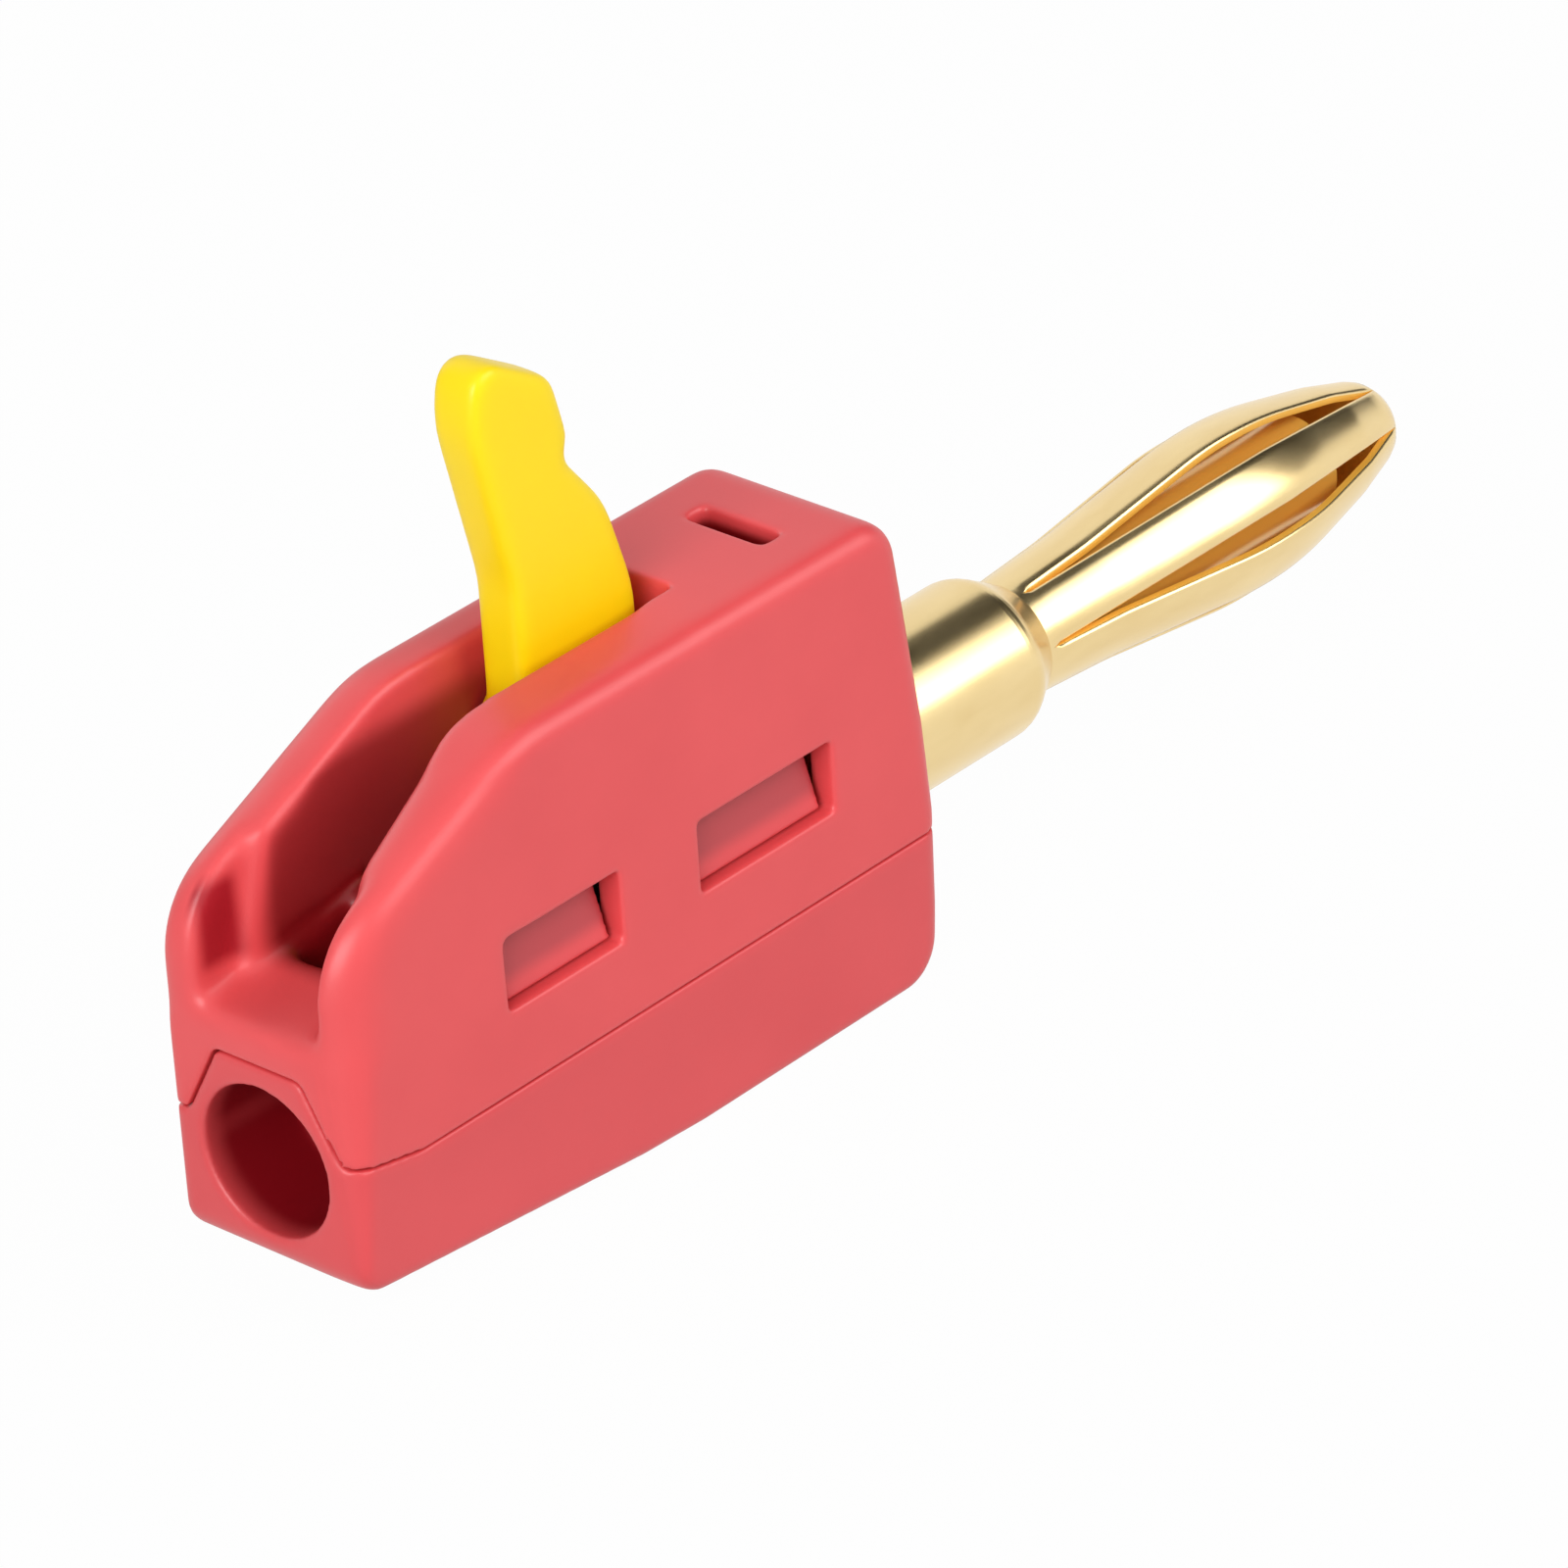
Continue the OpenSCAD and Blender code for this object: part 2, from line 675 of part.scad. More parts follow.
// Turned core: tail, flange, groove, collar with its rounded shoulder, and rod
module contact_pin() {
    flange_end = inside_end - seam;
    rod_end = shoulder_x + rod_l;
    shoulder_end = shoulder_x + shoulder_l;
    color(pin_gold) placed() {
        difference() {
            pin_bar(tail_x, tail_l + join, tail_r);
            block([tail_x - over, -collar_r, 0], [tail_x + tail_l, collar_r, bar_top]);
        }
        translate([0, 0, pin_z]) rotate([0, 90, 0]) rotate_extrude() polygon(concat(
            [[0, tail_x + tail_l], [flange_r, tail_x + tail_l], [flange_r, flange_end]],
            [[groove_r, flange_end], [groove_r, collar_x + seam], [collar_r, collar_x + seam]],
            corner([collar_r, collar_x], [collar_r, shoulder_x], [socket_r, shoulder_end], shoulder_r, turn_step),
            [[socket_r, shoulder_end], [socket_r, shoulder_end - sleeve_seat], [rod_r, shoulder_end - sleeve_seat]],
            [[rod_r, rod_end - rod_chamfer], [rod_r - rod_chamfer, rod_end], [core_bore_r, rod_end]],
            [[core_bore_r, rod_end - core_bore_l], [0, rod_end - core_bore_l]]));
    }
}

// Sleeve whose leaves bulge round the rod and meet at the tip
module spring_sleeve() {
    color(pin_gold) placed() translate([shoulder_x, 0, pin_z]) rotate([0, 90, 0]) intersection() {
        rotate_extrude() difference() {
            polygon(sleeve_outline(0));
            polygon(sleeve_outline(sleeve_t));
        }
        union() {
            translate([0, 0, shoulder_l - sleeve_seat]) cylinder(h = sleeve_seat + ring_l, r = collar_r);
            for (i = [1:leaf_pairs]) rotate([0, 0, leaf_turn + 180 * i / leaf_pairs])
                across(2 * (bulge_r + over)) polygon([
                    [-leaf_w / 2, 0],
                    [leaf_w / 2, 0],
                    [leaf_w / 2, bulge_x],
                    [leaf_tip_w / 2, pin_l],
                    [leaf_tip_w / 2, pin_l + over],
                    [-leaf_tip_w / 2, pin_l + over],
                    [-leaf_tip_w / 2, pin_l],
                    [-leaf_w / 2, bulge_x]]);
        }
    }
}

upper_housing();
lower_cover();
lever();
cage_clamp();
current_bar();
contact_pin();
spring_sleeve();
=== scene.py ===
import math
import bpy
import bmesh
import numpy as np
from mathutils import Matrix, Vector


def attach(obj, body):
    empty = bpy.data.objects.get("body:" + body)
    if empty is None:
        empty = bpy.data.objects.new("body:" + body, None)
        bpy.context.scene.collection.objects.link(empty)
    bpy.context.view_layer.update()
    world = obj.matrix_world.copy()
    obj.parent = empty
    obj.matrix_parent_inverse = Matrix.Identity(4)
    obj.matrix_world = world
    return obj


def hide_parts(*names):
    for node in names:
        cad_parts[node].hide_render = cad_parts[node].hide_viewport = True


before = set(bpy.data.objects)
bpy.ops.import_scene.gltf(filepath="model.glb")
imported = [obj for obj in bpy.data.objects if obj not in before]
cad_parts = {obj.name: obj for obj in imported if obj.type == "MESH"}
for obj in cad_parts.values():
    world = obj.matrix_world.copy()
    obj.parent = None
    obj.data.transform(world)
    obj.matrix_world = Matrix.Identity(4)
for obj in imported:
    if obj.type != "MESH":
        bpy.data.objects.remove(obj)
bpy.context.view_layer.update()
scene = bpy.context.scene
scene.view_settings.view_transform = "Standard"
mm = 0.001
print("frame loaded:", sorted(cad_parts))

# view of the photograph, in degrees and millimetres
viewPoint = {"azimuth": -47.056, "elevation": 29.149, "roll": -3.887,
             "aim": (-2.755, -0.32, 5.7), "distance": 241.24, "lens": 225.0, "sensor": 36.0,
             "clip": (0.01, 20.0)}


def placeCamera(s):
    turn, rise, roll = (math.radians(s[k]) for k in ("azimuth", "elevation", "roll"))
    level = math.cos(rise)
    back = Vector((math.sin(turn) * level, -math.cos(turn) * level, math.sin(rise)))
    right = Vector((0, 0, 1)).cross(back).normalized()
    up = back.cross(right)
    axes = Matrix((right * math.cos(roll) + up * math.sin(roll),
                   up * math.cos(roll) - right * math.sin(roll), back)).transposed()
    data = bpy.data.cameras.new("camera")
    data.lens, data.sensor_width = s["lens"], s["sensor"]
    data.clip_start, data.clip_end = s["clip"]
    eye = bpy.data.objects.new("camera", data)
    spot = (Vector(s["aim"]) + back * s["distance"]) * mm
    eye.matrix_world = Matrix.Translation(spot) @ axes.to_4x4()
    scene.collection.objects.link(eye)
    scene.camera = eye


placeCamera(viewPoint)
print("camera placed")


# small helpers for node trees
def linear(code):
    made = []
    for i in (0, 2, 4):
        c = int(code[i:i + 2], 16) / 255
        made.append(c / 12.92 if c <= 0.04045 else ((c + 0.055) / 1.055) ** 2.4)
    return tuple(made) + (1.0,)


def node(tree, kind, **values):
    made = tree.nodes.new(kind)
    for key, value in values.items():
        if hasattr(made, key):
            setattr(made, key, value)
        else:
            made.inputs[key].default_value = value
    return made


def wire(tree, start, end):
    tree.links.new(start, end)


def surface(name):
    material = bpy.data.materials.new(name)
    material.use_nodes = True
    tree = material.node_tree
    return material, tree, tree.nodes["Principled BSDF"]


def tint(tree, fac, low, high):
    mix = node(tree, "ShaderNodeMix", data_type="RGBA")
    wire(tree, fac, mix.inputs[0])
    mix.inputs[6].default_value, mix.inputs[7].default_value = low, high
    return mix.outputs[2]


def glossFrom(tree, value, low, high, socket):
    gloss = node(tree, "ShaderNodeMapRange")
    gloss.inputs["To Min"].default_value, gloss.inputs["To Max"].default_value = low, high
    wire(tree, value, gloss.inputs["Value"])
    wire(tree, gloss.outputs["Result"], socket)


# moulded plastics: a slow drift of the dye, a fine spark-eroded grain
# painted shade: boxes where the colour is darkened to stand for the shade in the bore, slots, hatch and hollows
# are (low corner, high corner, soft rim, shade colour), in millimetres
redPlastic = {"name": "redPlastic", "shade": "D84347", "base": "E55255", "rough": (0.36, 0.46),
              "shine": 0.55, "driftScale": 260.0, "grainScale": 9000.0, "grain": 0.10, "grainDepth": 0.00002,
              "glow": 0.06, "glowRadius": (1.0, 0.4, 0.3), "glowScale": 0.0006, "sideRim": 0.15,
              "paintedShade": [((-19.4, -0.95, 6.4), (-6.6, 1.55, 12.6), 0.9, "800810"),
                         ((-21.0, 0.6, 8.0), (-19.3, 2.3, 10.6), 0.5, "A81824"),
                         ((-4.4, -1.6, 10.0), (-2.8, 1.6, 12.95), 0.3, "8C0A12")]}
# painted shade: the cover's red is a darker copy of the housing red, and its boxes darken the wire bore and its
# top under the upper shell
shadedCoverPlastic = {**redPlastic, "name": "shadedCoverPlastic", "shade": "D03F44", "base": "DD4C50",
                "paintedShade": [((-21.1, -2.1, 0.3), (-12.0, 2.1, 7.4), 0.8, "8A0714"),
                           ((-18.0, -2.6, 5.9), (0.0, 2.6, 13.0), 0.3, "B23A40")]}
# painted shade: the lever's yellow is darkened in one box, low down where it sits in the slot
yellowPlastic = {**redPlastic, "name": "yellowPlastic", "shade": "FAD604", "base": "FFE208",
                 "rough": (0.34, 0.42), "shine": 0.35, "grain": 0.08,
                 "paintedShade": [((-12.6, -1.2, 7.0), (-7.0, 1.8, 12.6), 1.0, "E8B800")]}


# a soft-edged box mask that places the painted shade
def softBox(tree, place, low, high, rim, sideRim):
    middle = node(tree, "ShaderNodeVectorMath", operation="SUBTRACT")
    middle.inputs[1].default_value = [(a + b) / 2 * mm for a, b in zip(low, high)]
    wire(tree, place, middle.inputs[0])
    size = node(tree, "ShaderNodeVectorMath", operation="ABSOLUTE")
    wire(tree, middle.outputs[0], size.inputs[0])
    parts = node(tree, "ShaderNodeSeparateXYZ")
    wire(tree, size.outputs[0], parts.inputs[0])
    held = None
    for k, name in enumerate("XYZ"):
        fade = node(tree, "ShaderNodeMapRange", interpolation_type="SMOOTHSTEP")
        half = (high[k] - low[k]) / 2 * mm
        soft = (min(rim, sideRim) if name == "Y" else rim) * mm
        for key, value in (("From Min", half - soft), ("From Max", half), ("To Min", 1.0), ("To Max", 0.0)):
            fade.inputs[key].default_value = value
        wire(tree, parts.outputs[name], fade.inputs["Value"])
        if held is None:
            held = fade.outputs["Result"]
            continue
        both = node(tree, "ShaderNodeMath", operation="MULTIPLY")
        wire(tree, held, both.inputs[0])
        wire(tree, fade.outputs["Result"], both.inputs[1])
        held = both.outputs[0]
    return held


def mouldedPlastic(s):
    material, tree, shader = surface(s["name"])
    place = node(tree, "ShaderNodeTexCoord").outputs["Object"]
    drift = node(tree, "ShaderNodeTexNoise", Scale=s["driftScale"], Detail=3.0)
    grain = node(tree, "ShaderNodeTexNoise", Scale=s["grainScale"], Detail=2.0)
    wire(tree, place, drift.inputs["Vector"])
    wire(tree, place, grain.inputs["Vector"])
    dyeAndShade = tint(tree, drift.outputs["Fac"], linear(s["shade"]), linear(s["base"]))
    # painted shade: each box pulls the dye towards its darker shade colour
    for low, high, rim, shadeColour in s["paintedShade"]:
        mix = node(tree, "ShaderNodeMix", data_type="RGBA")
        wire(tree, softBox(tree, place, low, high, rim, s["sideRim"]), mix.inputs[0])
        wire(tree, dyeAndShade, mix.inputs[6])
        mix.inputs[7].default_value = linear(shadeColour)
        dyeAndShade = mix.outputs[2]
    wire(tree, dyeAndShade, shader.inputs["Base Color"])
    shader.inputs["Specular IOR Level"].default_value = s["shine"]
    glossFrom(tree, drift.outputs["Fac"], *s["rough"], shader.inputs["Roughness"])
    bump = node(tree, "ShaderNodeBump", Strength=s["grain"], Distance=s["grainDepth"])
    wire(tree, grain.outputs["Fac"], bump.inputs["Height"])
    wire(tree, bump.outputs["Normal"], shader.inputs["Normal"])
    shader.inputs["Subsurface Weight"].default_value = s["glow"]
    shader.inputs["Subsurface Radius"].default_value = s["glowRadius"]
    shader.inputs["Subsurface Scale"].default_value = s["glowScale"]
    return material


# metals: drawing lines along the piece
paleGold = {"name": "paleGold", "shade": "E6C88C", "base": "F4DCA6", "rough": (0.20, 0.28), "metal": 1.0,
            "driftScale": (420.0, 1500.0, 1500.0), "bump": 0.05, "bumpDepth": 0.00002}
# painted light: the inside faces of the leaves and the rod get a warmer, brighter, half-metal copy of the plating
litInsideGold = {**paleGold, "name": "litInsideGold", "shade": "DE9E2E", "base": "F6C054", "rough": (0.3, 0.4),
             "metal": 0.35}
rolledCopper = {**paleGold, "name": "rolledCopper", "shade": "B8683C", "base": "D08858", "rough": (0.25, 0.4),
                "driftScale": (200.0, 1800.0, 1800.0), "bump": 0.1}
springSteel = {**rolledCopper, "name": "springSteel", "shade": "A8AAAC", "base": "C6C8CA", "rough": (0.22, 0.36)}
# the rod lies inside the radii of rodEdge, the collar outside
contactPin = {"name": "pinGold", "axisHeight": 5.65, "rodEdge": (1.42, 1.52)}


def brightMetal(s):
    material, tree, shader = surface(s["name"])
    shader.inputs["Metallic"].default_value = s["metal"]
    place = node(tree, "ShaderNodeTexCoord").outputs["Object"]
    stretch = node(tree, "ShaderNodeMapping")
    stretch.inputs["Scale"].default_value = s["driftScale"]
    wire(tree, place, stretch.inputs["Vector"])
    drift = node(tree, "ShaderNodeTexNoise", Scale=1.0, Detail=4.0)
    wire(tree, stretch.outputs["Vector"], drift.inputs["Vector"])
    plate = tint(tree, drift.outputs["Fac"], linear(s["shade"]), linear(s["base"]))
    wire(tree, plate, shader.inputs["Base Color"])
    glossFrom(tree, drift.outputs["Fac"], *s["rough"], shader.inputs["Roughness"])
    bump = node(tree, "ShaderNodeBump", Strength=s["bump"], Distance=s["bumpDepth"])
    wire(tree, drift.outputs["Fac"], bump.inputs["Height"])
    wire(tree, bump.outputs["Normal"], shader.inputs["Normal"])
    return material


def platedPin(s, outer, inner):
    material = brightMetal({**outer, "name": s["name"]})
    tree = material.node_tree
    shader = tree.nodes["Principled BSDF"]
    place = node(tree, "ShaderNodeTexCoord").outputs["Object"]
    shift = node(tree, "ShaderNodeVectorMath", operation="SUBTRACT")
    shift.inputs[1].default_value = (0.0, 0.0, s["axisHeight"] * mm)
    wire(tree, place, shift.inputs[0])
    flat = node(tree, "ShaderNodeVectorMath", operation="MULTIPLY")
    flat.inputs[1].default_value = (0.0, 1.0, 1.0)
    wire(tree, shift.outputs[0], flat.inputs[0])
    away = node(tree, "ShaderNodeVectorMath", operation="LENGTH")
    wire(tree, flat.outputs[0], away.inputs[0])
    rod = node(tree, "ShaderNodeMapRange")  # 1 on the rod, 0 on the collar
    low, high = s["rodEdge"]
    for key, value in (("From Min", low * mm), ("From Max", high * mm), ("To Min", 1.0), ("To Max", 0.0)):
        rod.inputs[key].default_value = value
    wire(tree, away.outputs["Value"], rod.inputs["Value"])
    # painted light: the rod takes the warmer, brighter half-metal copy
    mix = node(tree, "ShaderNodeMix", data_type="RGBA")
    wire(tree, rod.outputs["Result"], mix.inputs[0])
    wire(tree, shader.inputs["Base Color"].links[0].from_socket, mix.inputs[6])
    mix.inputs[7].default_value = linear(inner["base"])
    wire(tree, mix.outputs[2], shader.inputs["Base Color"])
    glossFrom(tree, rod.outputs["Result"], outer["metal"], inner["metal"], shader.inputs["Metallic"])
    return material


redMoulding = mouldedPlastic(redPlastic)
shadedCoverMoulding = mouldedPlastic(shadedCoverPlastic)
yellowMoulding = mouldedPlastic(yellowPlastic)
goldPlate = brightMetal(paleGold)
litInsidePlate = brightMetal(litInsideGold)
pinPlate = platedPin(contactPin, paleGold, litInsideGold)
copperStrip = brightMetal(rolledCopper)
steelStrip = brightMetal(springSteel)
print("materials made")


def dress(obj, material):
    obj.data.materials.clear()
    obj.data.materials.append(material)


def plainMesh(piece, name):
    graph = bpy.context.evaluated_depsgraph_get()
    ready = piece.evaluated_get(graph)
    made = bpy.data.meshes.new_from_object(ready, preserve_all_data_layers=True, depsgraph=graph)
    made.name = name
    return made


def joinFrame(piece, s):
    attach(piece, s["body"])
    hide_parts(s["node"])


# mouldings: a fine even skin over a copy of the solid, then eased so that edges and inner corners go round
# each zone is (low corner, high corner, ease), in millimetres of the part's frame; the last one that holds counts
weldLength, zoneBlend = 0.001, 40
upperShell = {"name": "upperShell", "node": "upper_housing", "body": "housing", "slot": "housing_red",
              "cell": 0.075, "rounds": 70, "ease": 0.05, "keep": 0.42,
              "zones": [((-21.3, -2.9, 7.0), (-8.0, 3.0, 14.0), 0.26),
                        ((-21.3, -3.0, 7.2), (-14.8, -0.4, 12.5), 0.9),
                        ((-21.3, 0.2, 7.2), (-17.4, 2.6, 12.0), 0.6),
                        ((-5.0, -1.6, 12.4), (-2.2, 1.6, 14.0), 0.1),
                        ((-21.3, -3.0, 4.0), (1.0, 3.0, 6.9), 0.02),
                        ((-16.0, -3.0, 5.9), (-3.0, -2.0, 8.6), 0.03),
                        ((-16.0, 2.0, 5.9), (-3.0, 3.0, 8.6), 0.03)]}
lowerShell = {"name": "lowerShell", "node": "lower_cover", "body": "housing", "slot": "housing_red",
              "cell": 0.075, "rounds": 30, "ease": 0.06, "keep": 0.42,
              "zones": [((-21.3, -2.4, 1.5), (-20.8, 2.4, 6.2), 0.14)]}
leverBlade = {"name": "leverBlade", "node": "lever", "body": "lever", "slot": "lever_yellow",
              "cell": 0.06, "rounds": 60, "ease": 0.06, "keep": 0.5,
              "zones": [((-14.0, -3.0, 11.4), (-5.0, 3.0, 22.0), 0.75)]}


def easedSkin(s, material):
    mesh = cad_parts[s["node"]].data.copy()
    mesh.name = s["name"]
    if "custom_normal" in mesh.attributes:
        mesh.attributes.remove(mesh.attributes["custom_normal"])
    work = bmesh.new()
    work.from_mesh(mesh)
    bmesh.ops.remove_doubles(work, verts=work.verts, dist=weldLength * mm)
    work.to_mesh(mesh)
    work.free()
    piece = bpy.data.objects.new(s["name"], mesh)
    scene.collection.objects.link(piece)
    skin = piece.modifiers.new("skin", "REMESH")
    skin.mode, skin.voxel_size = "VOXEL", s["cell"] * mm
    fine = plainMesh(piece, s["name"])
    piece.modifiers.clear()

    count = len(fine.vertices)
    spots = np.empty(count * 3, dtype=np.float32)
    fine.vertices.foreach_get("co", spots)
    spots = spots.reshape(-1, 3).astype(float)
    pairs = np.empty(len(fine.edges) * 2, dtype=np.int32)
    fine.edges.foreach_get("vertices", pairs)
    a, b = pairs.reshape(-1, 2).T
    number = np.bincount(a, minlength=count) + np.bincount(b, minlength=count)
    pull = np.full(count, s["ease"])
    for low, high, ease in s["zones"]:
        inside = np.all((spots > np.array(low) * mm) & (spots < np.array(high) * mm), axis=1)
        pull[inside] = ease
    for _ in range(zoneBlend):  # the zones run softly into each other
        around = np.bincount(a, pull[b], count) + np.bincount(b, pull[a], count)
        pull = 0.5 * pull + 0.5 * around / number
    for _ in range(s["rounds"]):
        sums = [np.bincount(a, spots[b, k], count) + np.bincount(b, spots[a, k], count) for k in range(3)]
        mean = np.stack(sums, 1)
        spots += pull[:, None] * (mean / number[:, None] - spots)
    fine.vertices.foreach_set("co", spots.astype(np.float32).ravel())
    fine.update()

    piece.data = fine
    thin = piece.modifiers.new("thin", "DECIMATE")
    thin.ratio = s["keep"]
    lean = plainMesh(piece, s["name"])
    piece.modifiers.clear()
    piece.data = lean
    lean.polygons.foreach_set("use_smooth", [True] * len(lean.polygons))
    dress(piece, material)
    joinFrame(piece, s)
    return piece


mouldings = ((upperShell, redMoulding), (lowerShell, shadedCoverMoulding), (leverBlade, yellowMoulding))
for settings, material in mouldings:
    made = easedSkin(settings, material)
    print(settings["name"], len(made.data.polygons), "faces")


# one leaf of the sleeve, then a node tree that sets six of them round the pin; lengths in millimetres
# the outline is (along, out, corner radius) of the outer face
springLeaves = {"name": "springLeaves", "node": "spring_sleeve", "body": "housing", "slot": "pin_gold",
                "start": 5.0, "axisHeight": 5.65, "leaves": 6, "turn": 21.0, "thick": 0.2,
                "edge": 0.06, "edgeEase": 0.3, "edgeRun": 0.05, "width": 1.48, "tipWidth": 1.1,
                "fullest": 10.1, "length": 16.2, "ringEnd": 1.45,
                "arcStep": 0.3, "alongStep": 0.35, "outerSteps": 8, "innerSteps": 4, "sharp": 35.0,
                "outline": [(-0.5, 1.58, 0), (1.05, 1.58, 13.0), (3.9, 1.76, 13.0), (10.1, 2.46, 13.0),
                            (14.05, 1.65, 4.0), (16.2, 1.02, 1.1), (16.2, 0.0, 0)]}


def softOutline(points, spacing):
    made = []
    for i, (x, y, r) in enumerate(points):
        here = Vector((x, y))
        if r == 0:
            made.append(here)
            continue
        u = (Vector(points[i - 1][:2]) - here).normalized()
        v = (Vector(points[i + 1][:2]) - here).normalized()
        half = u.angle(v) / 2
        centre = here + (u + v).normalized() * r / math.sin(half)
        first, last = here + u * r / math.tan(half) - centre, here + v * r / math.tan(half) - centre
        turn = first.angle_signed(last)
        steps = max(3, math.ceil(abs(turn) * r / spacing))
        for k in range(steps + 1):
            made.append(centre + Matrix.Rotation(-turn * k / steps, 2) @ first)
    return made


def leafMesh(s):
    line = softOutline(s["outline"], s["arcStep"])
    stations = []
    for p, q in zip(line, line[1:]):
        parts = max(1, math.ceil((q - p).length / s["alongStep"]))
        stations += [p.lerp(q, k / parts) for k in range(parts)]
    stations.append(line[-1])
    work = bmesh.new()
    loops = []
    inner = work.faces.layers.bool.new("inner")  # marks the sides and the inside of the leaf
    for i, here in enumerate(stations):
        along = (stations[min(i + 1, len(stations) - 1)] - stations[max(i - 1, 0)]).normalized()
        out = Vector((-along.y, along.x))
        x, r = here
        past = max(0.0, (x - s["fullest"]) / (s["length"] - s["fullest"]))
        half = (s["width"] * (1 - past) + s["tipWidth"] * past) / 2
        room = r * math.sin(math.pi / s["leaves"])  # half a sixth of the ring
        wide = room if x < s["ringEnd"] else min(half, room)
        edge = s["edge"] * min(1.0, max(0.0, (room - wide) / s["edgeRun"]))
        t, e, near = s["thick"], edge, s["edgeEase"] * edge
        outer, inward = s["outerSteps"], s["innerSteps"]
        across = [(-wide, e), (-wide + near, near)]
        across += [(-wide + e + (2 * wide - 2 * e) * k / outer, 0.0) for k in range(outer + 1)]
        across += [(wide - near, near), (wide, e), (wide, t)]
        across += [(wide - 2 * wide * k / inward, t) for k in range(1, inward + 1)]
        ring = []
        for side, depth in across:
            deepX, deepR = x - out.x * depth, max(0.0, r - out.y * depth)
            side = max(-deepR, min(deepR, side * (deepR / r if wide == room and r > 0 else 1.0)))
            rise = math.sqrt(max(0.0, deepR ** 2 - side ** 2))
            ring.append(work.verts.new((deepX * mm, rise * mm, side * mm)))
        loops.append(ring)
    count = len(loops[0])
    firstInner = s["outerSteps"] + 4  # the strips before it make the outer face and its rounded edges
    for one, two in zip(loops, loops[1:]):
        for k in range(count):
            strip = work.faces.new((one[k], one[(k + 1) % count], two[(k + 1) % count], two[k]))
            strip[inner] = k >= firstInner
    work.faces.new(loops[0])
    bmesh.ops.remove_doubles(work, verts=work.verts, dist=0.0005 * mm)
    bmesh.ops.dissolve_degenerate(work, edges=work.edges, dist=0.0002 * mm)
    bmesh.ops.recalc_face_normals(work, faces=work.faces)
    bmesh.ops.translate(work, verts=work.verts, vec=(s["start"] * mm, 0, 0))
    for face in work.faces:
        face.smooth = True
    mesh = bpy.data.meshes.new(s["name"])
    work.to_mesh(mesh)
    work.free()
    return mesh


def leafTree(material, litInsideMaterial):
    tree = bpy.data.node_groups.new("leavesRoundPin", "GeometryNodeTree")
    face = tree.interface
    face.new_socket("Leaf", in_out="INPUT", socket_type="NodeSocketGeometry")
    sockets = {"Leaves": face.new_socket("Leaves", in_out="INPUT", socket_type="NodeSocketInt"),
               "Turn": face.new_socket("Turn", in_out="INPUT", socket_type="NodeSocketFloat"),
               "Axis": face.new_socket("Axis", in_out="INPUT", socket_type="NodeSocketVector")}
    face.new_socket("Sleeve", in_out="OUTPUT", socket_type="NodeSocketGeometry")
    given, done = node(tree, "NodeGroupInput"), node(tree, "NodeGroupOutput")
    spots = node(tree, "GeometryNodePoints")
    wire(tree, given.outputs["Leaves"], spots.inputs["Count"])
    wire(tree, given.outputs["Axis"], spots.inputs["Position"])
    step = node(tree, "ShaderNodeMath", operation="DIVIDE")
    step.inputs[0].default_value = 2 * math.pi
    wire(tree, given.outputs["Leaves"], step.inputs[1])
    angle = node(tree, "ShaderNodeMath", operation="MULTIPLY_ADD")
    wire(tree, node(tree, "GeometryNodeInputIndex").outputs[0], angle.inputs[0])
    wire(tree, step.outputs[0], angle.inputs[1])
    wire(tree, given.outputs["Turn"], angle.inputs[2])
    turned = node(tree, "ShaderNodeCombineXYZ")
    wire(tree, angle.outputs[0], turned.inputs["X"])
    placed = node(tree, "GeometryNodeInstanceOnPoints")
    wire(tree, spots.outputs[0], placed.inputs["Points"])
    wire(tree, given.outputs["Leaf"], placed.inputs["Instance"])
    wire(tree, turned.outputs[0], placed.inputs["Rotation"])
    real = node(tree, "GeometryNodeRealizeInstances")
    wire(tree, placed.outputs[0], real.inputs[0])
    welded = node(tree, "GeometryNodeMergeByDistance", Distance=0.002 * mm)
    wire(tree, real.outputs[0], welded.inputs["Geometry"])
    plated = node(tree, "GeometryNodeSetMaterial", Material=material)
    wire(tree, welded.outputs[0], plated.inputs["Geometry"])
    # painted light: the inside faces of the leaves take the warmer, brighter copy
    marked = node(tree, "GeometryNodeInputNamedAttribute", data_type="BOOLEAN", Name="inner")
    dressed = node(tree, "GeometryNodeSetMaterial", Material=litInsideMaterial)
    wire(tree, plated.outputs[0], dressed.inputs["Geometry"])
    wire(tree, marked.outputs["Attribute"], dressed.inputs["Selection"])
    wire(tree, dressed.outputs[0], done.inputs["Sleeve"])
    return tree, {name: socket.identifier for name, socket in sockets.items()}


def setLeaves(s, material, litInsideMaterial):
    piece = bpy.data.objects.new(s["name"], leafMesh(s))
    scene.collection.objects.link(piece)
    tree, names = leafTree(material, litInsideMaterial)
    ring = piece.modifiers.new("ring", "NODES")
    ring.node_group = tree
    ring[names["Leaves"]] = s["leaves"]
    ring[names["Turn"]] = math.radians(s["turn"])
    ring[names["Axis"]] = (0.0, 0.0, s["axisHeight"] * mm)
    made = plainMesh(piece, s["name"])
    piece.modifiers.clear()
    piece.data = made
    made.set_sharp_from_angle(angle=math.radians(s["sharp"]))
    joinFrame(piece, s)
    return piece


sleeve = setLeaves(springLeaves, goldPlate, litInsidePlate)
print(springLeaves["name"], len(sleeve.data.polygons), "faces")

dress(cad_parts["cage_clamp"], steelStrip)
dress(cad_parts["current_bar"], copperStrip)
dress(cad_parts["contact_pin"], pinPlate)
print("inner parts dressed")

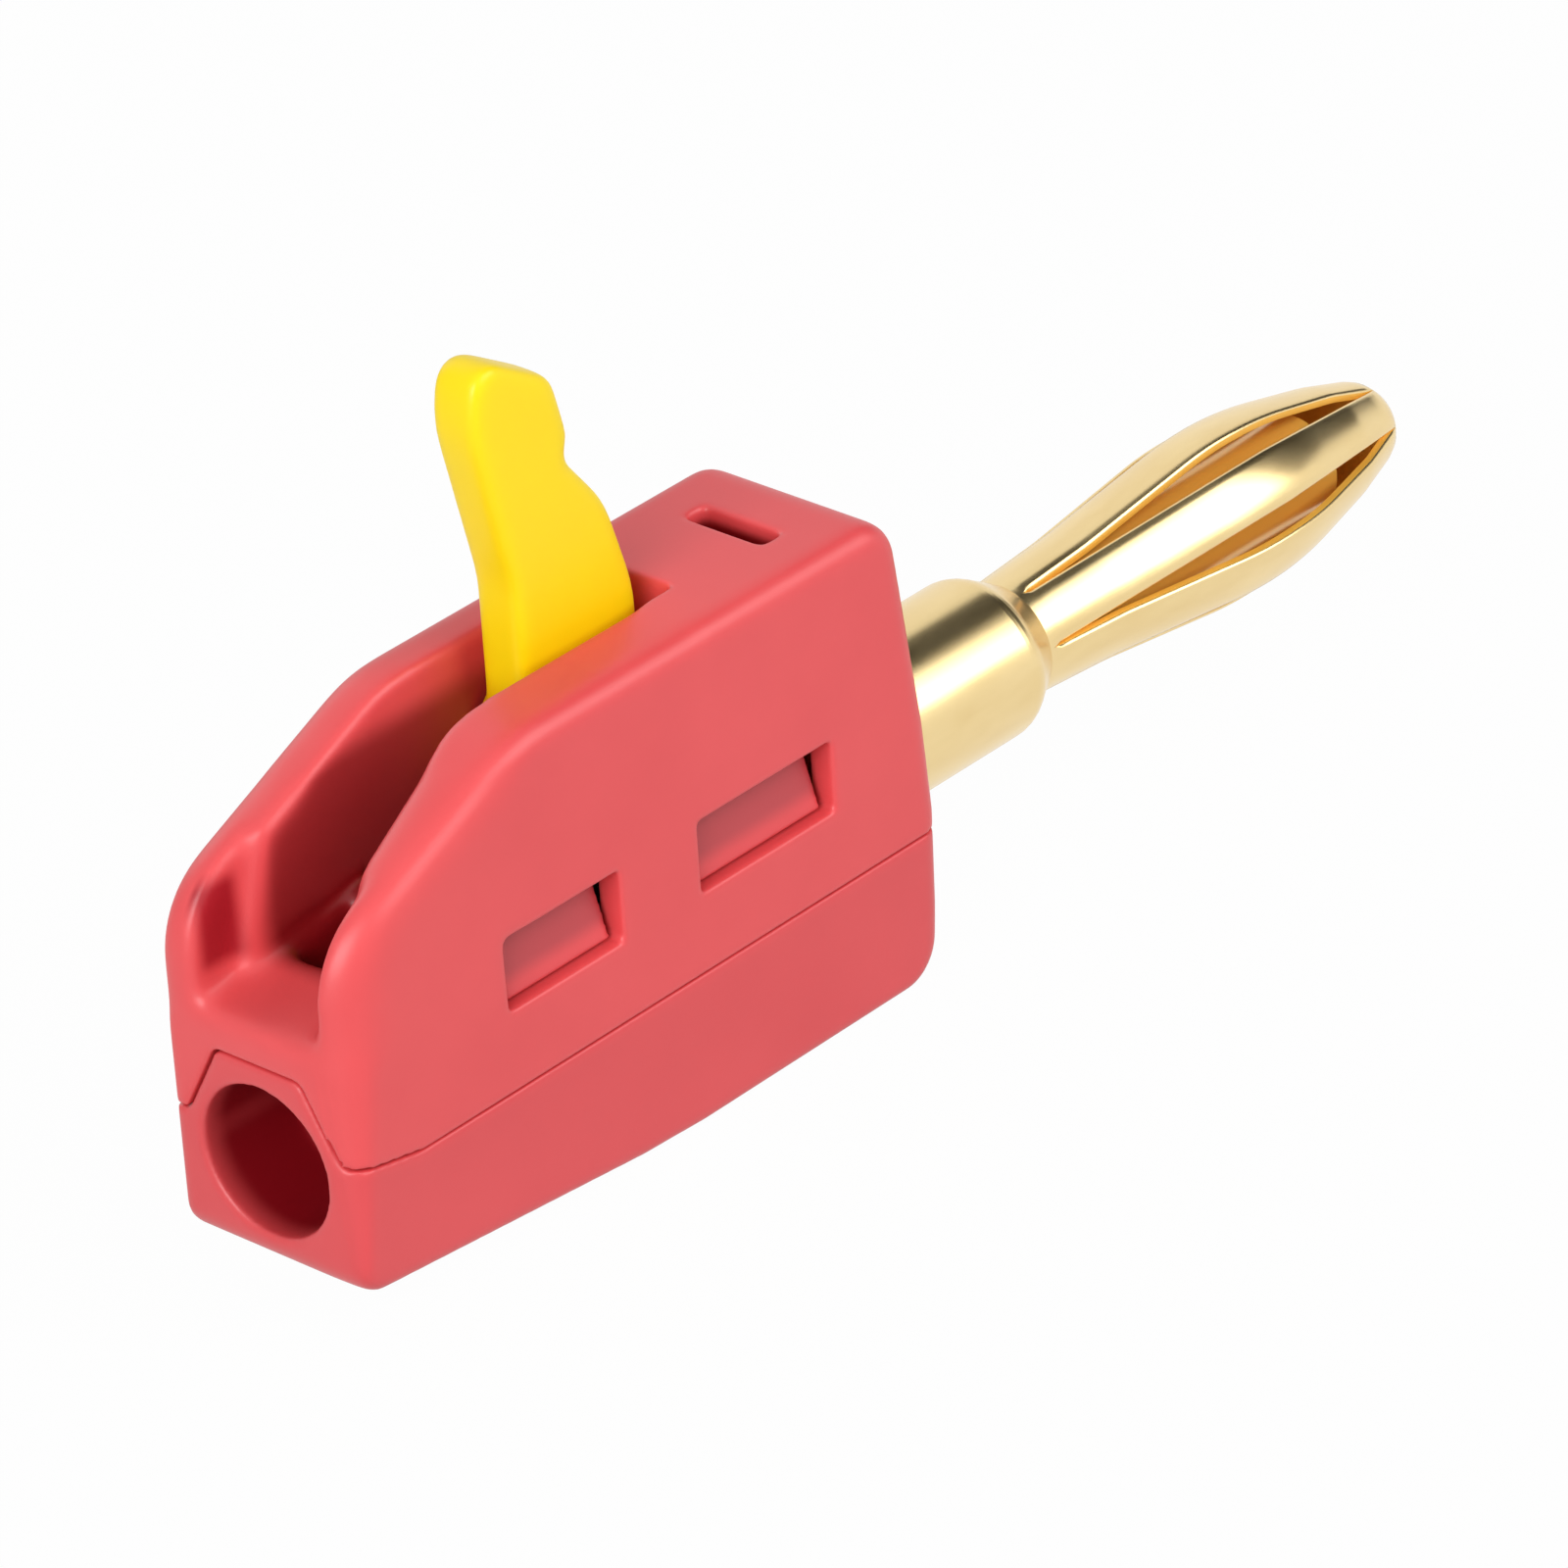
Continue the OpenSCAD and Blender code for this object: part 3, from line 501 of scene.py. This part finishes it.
# studio: pale floor, soft boxes, and a dark card that the pin mirrors
studio = {"floor": (0.5, 0.5, 0.5), "floorWhite": 0.98, "floorSize": 4.0, "floorDrop": 0.01, "floorRough": 0.9,
          "sky": 0.24, "aim": (-5, 0, 6),
          "card": {"place": (0.38, -0.07, 0.325), "size": (0.46, 0.46), "colour": (0.01, 0.01, 0.01),
                   "rough": 0.95}}
softBoxes = {"key": {"place": (0.14, -0.28, 0.23), "size": (0.34, 0.28), "watts": 0.98},
             "left": {"place": (-0.36, -0.13, 0.18), "size": (0.25, 0.25), "watts": 1.35},
             "top": {"place": (-0.08, 0.02, 0.42), "size": (0.22, 0.22), "watts": 0.05},
             "back": {"place": (0.06, 0.42, 0.24), "size": (0.30, 0.25), "watts": 0.28}}


def flatPanel(name, across, up):
    mesh = bpy.data.meshes.new(name)
    mesh.from_pydata([(-across / 2, -up / 2, 0), (across / 2, -up / 2, 0), (across / 2, up / 2, 0),
                      (-across / 2, up / 2, 0)], [], [(0, 1, 2, 3)])
    return mesh


def facing(place):
    aim = (Vector(studio["aim"]) * mm - Vector(place)).to_track_quat("-Z", "Y")
    return Matrix.Translation(place) @ aim.to_matrix().to_4x4()


def sightOf(tree):
    path = node(tree, "ShaderNodeLightPath")
    seen = path.outputs["Is Camera Ray"]
    for other in ("Is Glossy Ray", "Is Transmission Ray"):
        either = node(tree, "ShaderNodeMath", operation="MAXIMUM")
        wire(tree, seen, either.inputs[0])
        wire(tree, path.outputs[other], either.inputs[1])
        seen = either.outputs[0]
    return seen


def buildStudio(s, boxes):
    mesh = flatPanel("floor", s["floorSize"], s["floorSize"])
    mesh.transform(Matrix.Translation((0, 0, -s["floorDrop"] * mm)))
    floor = bpy.data.objects.new("floor", mesh)
    scene.collection.objects.link(floor)
    material, tree, shader = surface("paleFloor")
    shader.inputs["Base Color"].default_value = s["floor"] + (1.0,)
    shader.inputs["Roughness"].default_value = s["floorRough"]
    seen = sightOf(tree)  # white to the eye and in mirrors, with a faint shadow
    share = node(tree, "ShaderNodeMath", operation="MULTIPLY")
    share.inputs[1].default_value = s["floorWhite"]
    wire(tree, seen, share.inputs[0])
    white, mixed = node(tree, "ShaderNodeEmission"), node(tree, "ShaderNodeMixShader")
    wire(tree, share.outputs[0], mixed.inputs[0])
    wire(tree, shader.outputs[0], mixed.inputs[1])
    wire(tree, white.outputs[0], mixed.inputs[2])
    wire(tree, mixed.outputs[0], tree.nodes["Material Output"].inputs["Surface"])
    dress(floor, material)

    world = bpy.data.worlds.new("studio")
    scene.world = world
    world.use_nodes = True
    tree = world.node_tree
    back = tree.nodes["Background"]
    seen = sightOf(tree)
    level = node(tree, "ShaderNodeMapRange")
    level.inputs["To Min"].default_value, level.inputs["To Max"].default_value = s["sky"], 1.0
    wire(tree, seen, level.inputs["Value"])
    wire(tree, level.outputs["Result"], back.inputs["Strength"])
    back.inputs["Color"].default_value = (1, 1, 1, 1)

    mesh = flatPanel("darkCard", *s["card"]["size"])
    mesh.transform(facing(s["card"]["place"]))
    card = bpy.data.objects.new("darkCard", mesh)
    scene.collection.objects.link(card)
    material, tree, shader = surface("blackFelt")
    shader.inputs["Base Color"].default_value = s["card"]["colour"] + (1.0,)
    shader.inputs["Roughness"].default_value = s["card"]["rough"]
    dress(card, material)
    card.visible_camera = False
    card.visible_diffuse = False
    card.visible_shadow = False

    for name, b in boxes.items():
        data = bpy.data.lights.new(name, "AREA")
        data.shape, data.energy = "RECTANGLE", b["watts"]
        data.size, data.size_y = b["size"]
        lamp = bpy.data.objects.new(name, data)
        lamp.matrix_world = facing(b["place"])
        scene.collection.objects.link(lamp)


buildStudio(studio, softBoxes)
print("studio lit")
